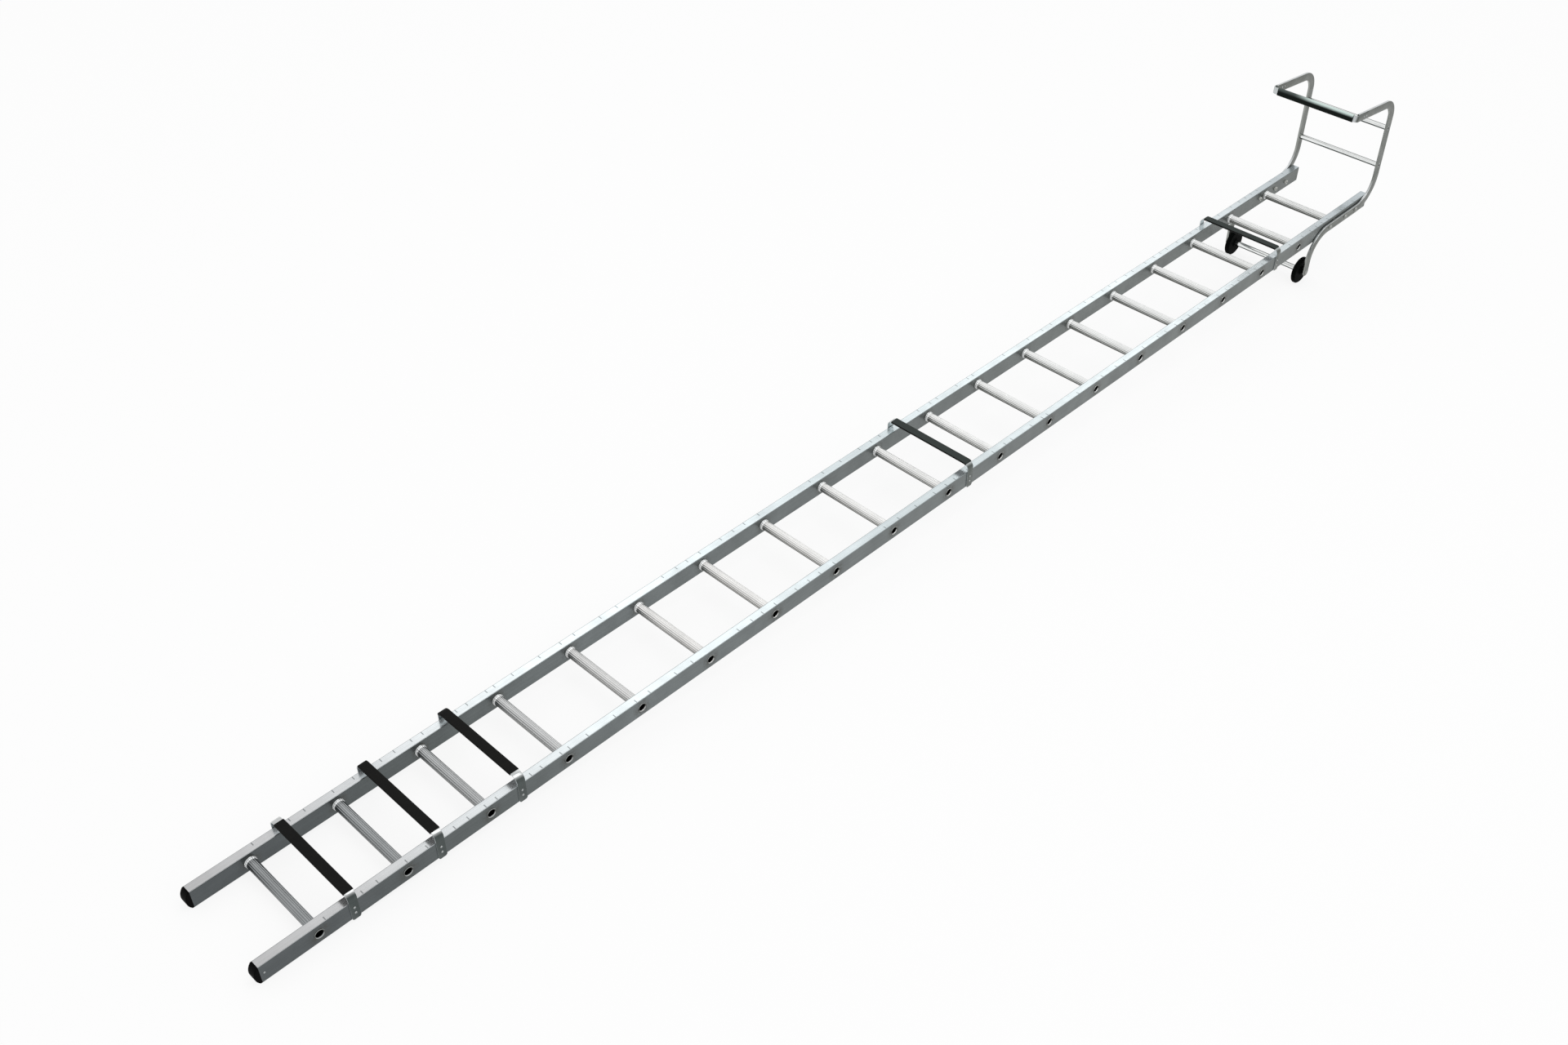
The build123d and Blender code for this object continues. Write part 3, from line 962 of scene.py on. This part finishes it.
def paint_light_on_insides(tree):
    """Painted light: the faces of the straps that look inward are painted bright."""
    surface = tree.nodes["surface"]
    plain = surface.inputs["Base Color"].links[0].from_socket
    coordinates = add_node(tree, "ShaderNodeTexCoord").outputs
    where = add_node(tree, "ShaderNodeSeparateXYZ", {"Vector": coordinates["Object"]})
    outward = add_node(tree, "ShaderNodeSeparateXYZ", {"Vector": coordinates["Normal"]})
    side = add_node(tree, "ShaderNodeMath", {0: where.outputs["X"]}, operation="SIGN")
    inward = add_node(
        tree,
        "ShaderNodeMath",
        {0: outward.outputs["X"], 1: side.outputs[0]},
        operation="MULTIPLY",
    )
    bright = add_node(
        tree,
        "ShaderNodeMapRange",
        {"Value": inward.outputs[0], "From Min": -0.3, "From Max": -0.8},
    ).outputs["Result"]
    kept = add_node(
        tree,
        "ShaderNodeMix",
        {0: bright, 6: plain, 7: linear("#DCE4E6")},
        data_type="RGBA",
    ).outputs[2]
    tree.links.new(kept, surface.inputs["Base Color"])


paint_light_on_insides(strap_metal.node_tree)
for number in range(1, BEARERS + 1):
    rounded_copy(
        f"bearer_strap_{number}",
        f"bearer_bar_{number}",
        strap_metal,
        edge_mm=STRAP_EDGE,
    )


def strap_rivets():
    """The places of the bearers' rivets, one above the other on the outside of each stile."""
    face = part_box("bearer_strap_1")[1].x / MM
    places = []
    for number in range(1, BEARERS + 1):
        reach = (middle(f"bearer_strap_{number}") - first_rung).dot(along) / MM
        for sign in (-1, 1):
            for height in STRAP_RIVET_HEIGHTS:
                places.append((place(sign * face, reach, height), (sign, 0, 0)))
    return places


set_rivets("bearer_rivets", strap_rivets(), RIVET_RADIUS, RIVET_HEIGHT)

# The sleeves of the bearers: black rubber extrusions pushed over the straps. The die leaves
# faint lines along them, and the tops of the sleeves toward the hook take a painted grey
# reflection.
# Painted reflection on the tops of the upper sleeves.
SHEEN_COLOUR = "#383F3D"
SHEEN_FROM = -1.0
SHEEN_FULL_AT = 0.0
sleeve_rubber = black_moulding(
    "extruded_black_rubber",
    colour="#0C0C0B",
    worn="#171715",
    roughness=0.55,
    specular=0.1,
    grain_mm=2.2,
    stretch=(40, 1, 1),
    relief_mm=0.15,
)


def paint_sheen_on_tops(tree):
    """Adds a painted grey reflection to the tops of the sleeves, from the fourth one on. Its start
    and its full strength are metres along the frame's Y axis."""
    plain = tree.nodes["tone"].outputs[2]
    coordinates = add_node(tree, "ShaderNodeTexCoord").outputs
    height = add_node(tree, "ShaderNodeSeparateXYZ", {"Vector": coordinates["Normal"]})
    top = add_node(
        tree,
        "ShaderNodeMapRange",
        {"Value": height.outputs["Z"], "From Min": 0.5, "From Max": 0.95},
        interpolation_type="SMOOTHSTEP",
    ).outputs["Result"]
    reach = add_node(tree, "ShaderNodeSeparateXYZ", {"Vector": coordinates["Object"]})
    upper = add_node(
        tree,
        "ShaderNodeMapRange",
        {
            "Value": reach.outputs["Y"],
            "From Min": SHEEN_FROM,
            "From Max": SHEEN_FULL_AT,
            "To Max": 0.8,
        },
    ).outputs["Result"]
    share = add_node(tree, "ShaderNodeMath", {0: top, 1: upper}, operation="MULTIPLY")
    sheened = add_node(
        tree,
        "ShaderNodeMix",
        {0: share.outputs[0], 6: plain, 7: linear(SHEEN_COLOUR)},
        data_type="RGBA",
    ).outputs[2]
    tree.links.new(sheened, tree.nodes["surface"].inputs["Base Color"])


paint_sheen_on_tops(sleeve_rubber.node_tree)
for number in range(1, BEARERS + 1):
    dress(f"bearer_sleeve_{number}", sleeve_rubber)

# The ridge hook: two flat bars of satin aluminium, bent cold on edge from the axle to the arm
# of the hook. Their wide sides are painted a dull warm grey and their edges painted brighter, as
# light and shade.
RAIL_EDGE = 0.9
hook_metal = bare_metal(
    "satin_aluminium_flat_bar",
    tops=[(0, "#DDE0E1")],
    sides=[(0, "#787B77")],
    under=[(0, "#989B97")],
    roughness=0.25,
    line_mm=5.0,
    line_stretch=(1, 6, 6),
    cloud_mm=35,
    clouding=0.08,
    rougher_sides=0.15,
    turn=(0.1, 0.8),
)
for side in ("left", "right"):
    rounded_copy(
        f"hook_rail_{side}",
        f"hook_bar_{side}",
        hook_metal,
        edge_mm=RAIL_EDGE,
    )

# The hook's closing strap goes round the ends of both arms. Two rivets on each side hold it,
# with their heads on the strap and their formed tails on the inside of the arm.
ARM_SLOPE = radians(6.5)
ARM_END_INSIDE_STRAP = 18.0
ARM_MIDDLE_ABOVE_STRAP = 2.0
RIVETS_FROM_ARM_END = (39.0, 56.0)
HEAD_HEIGHT = 0.9
TAIL_RADIUS = 3.6
TAIL_HEIGHT = 2.4
rounded_copy("hook_bar_strap", "hook_closing_strap", strap_metal, STRAP_EDGE)


def hook_rivets():
    """The rivets' heads and tails, along the middle of each arm, back from its free end."""
    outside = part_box("hook_bar_strap")[1].x
    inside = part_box("hook_rail_right")[0].x
    end_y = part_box("hook_bar_strap")[0].y + ARM_END_INSIDE_STRAP * MM
    end_z = middle("hook_bar_strap").z + ARM_MIDDLE_ABOVE_STRAP * MM
    arm_end = Vector((0, end_y, end_z))
    arm_way = Vector((0, cos(lean - ARM_SLOPE), sin(lean - ARM_SLOPE)))
    heads = []
    tails = []
    for distance in RIVETS_FROM_ARM_END:
        spot = arm_end + arm_way * distance * MM
        for sign in (-1, 1):
            heads.append((Vector((sign * outside, spot.y, spot.z)), (sign, 0, 0)))
            tails.append((Vector((sign * inside, spot.y, spot.z)), (-sign, 0, 0)))
    return heads, tails


heads, tails = hook_rivets()
set_rivets("hook_strap_rivets", heads, RIVET_RADIUS, HEAD_HEIGHT)
set_rivets("hook_strap_rivet_tails", tails, TAIL_RADIUS, TAIL_HEIGHT)

# The sleeve of the closing strap: a round-faced extrusion of glossy black vinyl, with a painted
# highlight along its upper front, strongest toward its right end.
HIGHLIGHT_COLOUR = "#D3E4DF"
HIGHLIGHT_LOWEST = 0.55
HIGHLIGHT_FULL_AT = 0.98
HIGHLIGHT_FROM_X = -90.0
HIGHLIGHT_FULL_X = 10.0
sleeve_vinyl = black_moulding(
    "glossy_black_vinyl",
    colour="#030B08",
    worn="#06110D",
    roughness=0.25,
    specular=0.1,
    grain_mm=3.0,
    stretch=(40, 1, 1),
    relief_mm=0.05,
)


def paint_highlight_on_top(tree):
    """Paints a highlight on the upper front of the sleeve, most of all toward its right end.
    The heights are shares of the sleeve's own height."""
    plain = tree.nodes["tone"].outputs[2]
    low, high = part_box("hook_bar_sleeve")
    coordinates = add_node(tree, "ShaderNodeTexCoord").outputs
    where = add_node(tree, "ShaderNodeSeparateXYZ", {"Vector": coordinates["Object"]}).outputs
    upper = add_node(
        tree,
        "ShaderNodeMapRange",
        {
            "Value": where["Z"],
            "From Min": low.z + HIGHLIGHT_LOWEST * (high.z - low.z),
            "From Max": low.z + HIGHLIGHT_FULL_AT * (high.z - low.z),
        },
        interpolation_type="SMOOTHSTEP",
    ).outputs["Result"]
    near = add_node(
        tree,
        "ShaderNodeMapRange",
        {
            "Value": where["X"],
            "From Min": HIGHLIGHT_FROM_X * MM,
            "From Max": HIGHLIGHT_FULL_X * MM,
            "To Min": 0.12,
        },
        interpolation_type="SMOOTHSTEP",
    ).outputs["Result"]
    facing = add_node(tree, "ShaderNodeSeparateXYZ", {"Vector": coordinates["Normal"]})
    front = add_node(
        tree,
        "ShaderNodeMapRange",
        {"Value": facing.outputs["Y"], "From Min": 0.35, "From Max": -0.15},
    ).outputs["Result"]
    share = add_node(tree, "ShaderNodeMath", {0: upper, 1: near}, operation="MULTIPLY")
    share = add_node(tree, "ShaderNodeMath", {0: share.outputs[0], 1: front}, operation="MULTIPLY")
    highlighted = add_node(
        tree,
        "ShaderNodeMix",
        {0: share.outputs[0], 6: plain, 7: linear(HIGHLIGHT_COLOUR)},
        data_type="RGBA",
    ).outputs[2]
    tree.links.new(highlighted, tree.nodes["surface"].inputs["Base Color"])


paint_highlight_on_top(sleeve_vinyl.node_tree)
dress("hook_bar_sleeve", sleeve_vinyl)

# Cross tubes and axle tube: bright drawn tube, shouldered into the rails or slipped over the
# axle between the wheels.
# Painted light and shade: the tubes' tops are painted near white and their undersides dark, and a
# painted dark reflection runs along their back edge.
DARK_EDGE_TURN = radians(25)
DARK_EDGE_COLOUR = "#38413E"
tube_metal = bare_metal(
    "drawn_aluminium_tube",
    tops=[(0, "#FAFCFB")],
    sides=[(0, "#B8BCBC")],
    under=[(0, "#343D3A")],
    roughness=0.16,
    line_mm=4.0,
    line_stretch=(60, 1, 1),
    cloud_mm=25,
    clouding=0.06,
    rougher_sides=0.0,
    turn=(-0.3, 0.0),
)


def paint_dark_edge(tree):
    """Adds a painted dark reflection as a line along the back edge of the tube."""
    surface = tree.nodes["surface"]
    plain = surface.inputs["Base Color"].links[0].from_socket
    outward = add_node(tree, "ShaderNodeTexCoord").outputs["Normal"]
    back = add_node(
        tree,
        "ShaderNodeVectorMath",
        {0: outward, 1: (0, sin(DARK_EDGE_TURN), cos(DARK_EDGE_TURN))},
        operation="DOT_PRODUCT",
    ).outputs["Value"]
    dark_edge = add_node(
        tree,
        "ShaderNodeMapRange",
        {"Value": back, "From Min": 0.72, "From Max": 0.9, "To Max": 0.95},
        interpolation_type="SMOOTHSTEP",
    ).outputs["Result"]
    lined = add_node(
        tree,
        "ShaderNodeMix",
        {0: dark_edge, 6: plain, 7: linear(DARK_EDGE_COLOUR)},
        data_type="RGBA",
    ).outputs[2]
    tree.links.new(lined, surface.inputs["Base Color"])


paint_dark_edge(tube_metal.node_tree)
for node in ("hook_cross_tube_lower", "hook_cross_tube_upper", "axle_tube"):
    dress(node, tube_metal)

# Bolts, nuts, packers and axle: zinc-plated steel. The bolts are a duller grey, and the nuts, on
# the inner sides of the stiles, are painted bright, a painted reflection. Their tones by facing
# paint light and shade.
dull_zinc = bare_metal(
    "dull_grey_zinc_plating",
    tops=[(0, "#B2B4B0")],
    sides=[(0, "#8B8E8A")],
    under=[(0, "#8E908C")],
    roughness=0.3,
    line_mm=3.0,
    line_stretch=(1, 1, 1),
    cloud_mm=5,
    clouding=0.15,
    rougher_sides=0.0,
    metallic=0.7,
)
for node in ("hook_bolts", "hook_packers", "axle_rod"):
    dress(node, dull_zinc)
bright_zinc = bare_metal(
    "bright_zinc_plating",
    tops=[(0, "#E4E5E0")],
    sides=[(0, "#F0F1EC")],
    under=[(0, "#D0D1CC")],
    roughness=0.3,
    line_mm=3.0,
    line_stretch=(1, 1, 1),
    cloud_mm=5,
    clouding=0.1,
    rougher_sides=0.0,
    metallic=0.3,
)
dress("hook_nuts", bright_zinc)

# The wheels and the collars beside them: black polypropylene mouldings, matt and faintly
# scuffed. The wheels turn loose on the axle rod.
wheel_plastic = black_moulding(
    "moulded_black_polypropylene",
    colour="#060807",
    worn="#0E100F",
    roughness=0.6,
    specular=0.02,
    grain_mm=2.0,
    stretch=(1, 1, 1),
    relief_mm=0.08,
)
for node in ("wheel_left", "wheel_right", "axle_collars"):
    dress(node, wheel_plastic)


# The floor: a pale paper sheet that keeps the shadow. To the camera and in reflections it is
# white for the greater part by its own light.
FLOOR_GLOW = 0.86
FLOOR_REACH = 20.0


def pale_floor():
    material = bpy.data.materials.new("white_paper")
    material.use_nodes = True
    tree = material.node_tree
    tree.nodes.clear()
    path = add_node(tree, "ShaderNodeLightPath").outputs
    seen = add_node(
        tree,
        "ShaderNodeMath",
        {0: path["Is Camera Ray"], 1: path["Is Glossy Ray"]},
        operation="MAXIMUM",
    )
    seen = add_node(
        tree,
        "ShaderNodeMath",
        {0: seen.outputs[0], 1: path["Is Transmission Ray"]},
        operation="MAXIMUM",
    )
    share = add_node(
        tree, "ShaderNodeMath", {0: seen.outputs[0], 1: FLOOR_GLOW}, operation="MULTIPLY"
    )
    paper = add_node(tree, "ShaderNodeBsdfDiffuse", {"Color": linear("#F4F4F4")})
    glow = add_node(tree, "ShaderNodeEmission", {"Color": (1, 1, 1, 1), "Strength": 1.0})
    mixed = add_node(
        tree,
        "ShaderNodeMixShader",
        {0: share.outputs[0], 1: paper.outputs[0], 2: glow.outputs[0]},
    )
    add_node(tree, "ShaderNodeOutputMaterial", {"Surface": mixed.outputs[0]})
    mesh = bmesh.new()
    bmesh.ops.create_grid(mesh, x_segments=1, y_segments=1, size=FLOOR_REACH)
    made = bpy.data.meshes.new("floor")
    mesh.to_mesh(made)
    mesh.free()
    made.materials.append(material)
    floor = bpy.data.objects.new("floor", made)
    bpy.context.scene.collection.objects.link(floor)


pale_floor()


# The light: a white room, two faint soft boxes that the stile tops mirror in two bright
# stretches, and one overhead that gives the shadow. The room is at full strength to the camera.
ROOM_LEVEL = 0.85
SIDE_BOX_SIZE = (3.0, 1.6)
SIDE_BOX_POWER = 8
OVERHEAD_BOX_SIZE = (4.0, 4.0)
OVERHEAD_BOX_POWER = 60


def soft_box(name, power, size, location, target):
    light = bpy.data.lights.new(name, "AREA")
    light.shape = "RECTANGLE"
    light.size, light.size_y = size
    light.energy = power
    lamp = bpy.data.objects.new(name, light)
    lamp.location = location
    lamp.rotation_euler = (Vector(target) - Vector(location)).to_track_quat("-Z", "Y").to_euler()
    bpy.context.scene.collection.objects.link(lamp)


soft_box("foot_soft_box", SIDE_BOX_POWER, SIDE_BOX_SIZE, (-3.6, 1.4, 4.5), (0, -1.35, 0))
soft_box("hook_soft_box", SIDE_BOX_POWER, SIDE_BOX_SIZE, (-3.6, 5.8, 4.5), (0, 0.5, 0))
soft_box("overhead_soft_box", OVERHEAD_BOX_POWER, OVERHEAD_BOX_SIZE, (1.5, 0, 6), (0, 0, 0))
world = bpy.data.worlds.new("studio")
bpy.context.scene.world = world
world.use_nodes = True
room = world.node_tree
room.nodes.clear()
ray = add_node(room, "ShaderNodeLightPath").outputs["Is Camera Ray"]
level = add_node(
    room, "ShaderNodeMath", {0: ray, 1: 1 - ROOM_LEVEL, 2: ROOM_LEVEL}, operation="MULTIPLY_ADD"
)
walls = add_node(
    room, "ShaderNodeBackground", {"Color": (1, 1, 1, 1), "Strength": level.outputs[0]}
)
add_node(room, "ShaderNodeOutputWorld", {"Surface": walls.outputs[0]})

# The camera stands where the photograph was taken from, to the right of the foot end and above
# it, and is turned a little in its own plane.
CAMERA_PLACE = (2.5927, -3.3432, 3.2658)
CAMERA_AZIMUTH = 43.495
CAMERA_ELEVATION = 38.958
CAMERA_ROLL = 1.658
FOCAL_LENGTH = 38.045
SENSOR_WIDTH = 36.0
FARTHEST_SEEN = 60.0
camera_data = bpy.data.cameras.new("camera")
camera_data.lens = FOCAL_LENGTH
camera_data.sensor_width = SENSOR_WIDTH
camera_data.clip_end = FARTHEST_SEEN
camera = bpy.data.objects.new("camera", camera_data)
camera.matrix_world = (
    Matrix.Translation(CAMERA_PLACE)
    @ Matrix.Rotation(radians(CAMERA_AZIMUTH), 4, "Z")
    @ Matrix.Rotation(radians(90 - CAMERA_ELEVATION), 4, "X")
    @ Matrix.Rotation(radians(CAMERA_ROLL), 4, "Z")
)
bpy.context.scene.collection.objects.link(camera)
bpy.context.scene.camera = camera
bpy.context.scene.view_settings.view_transform = "Standard"
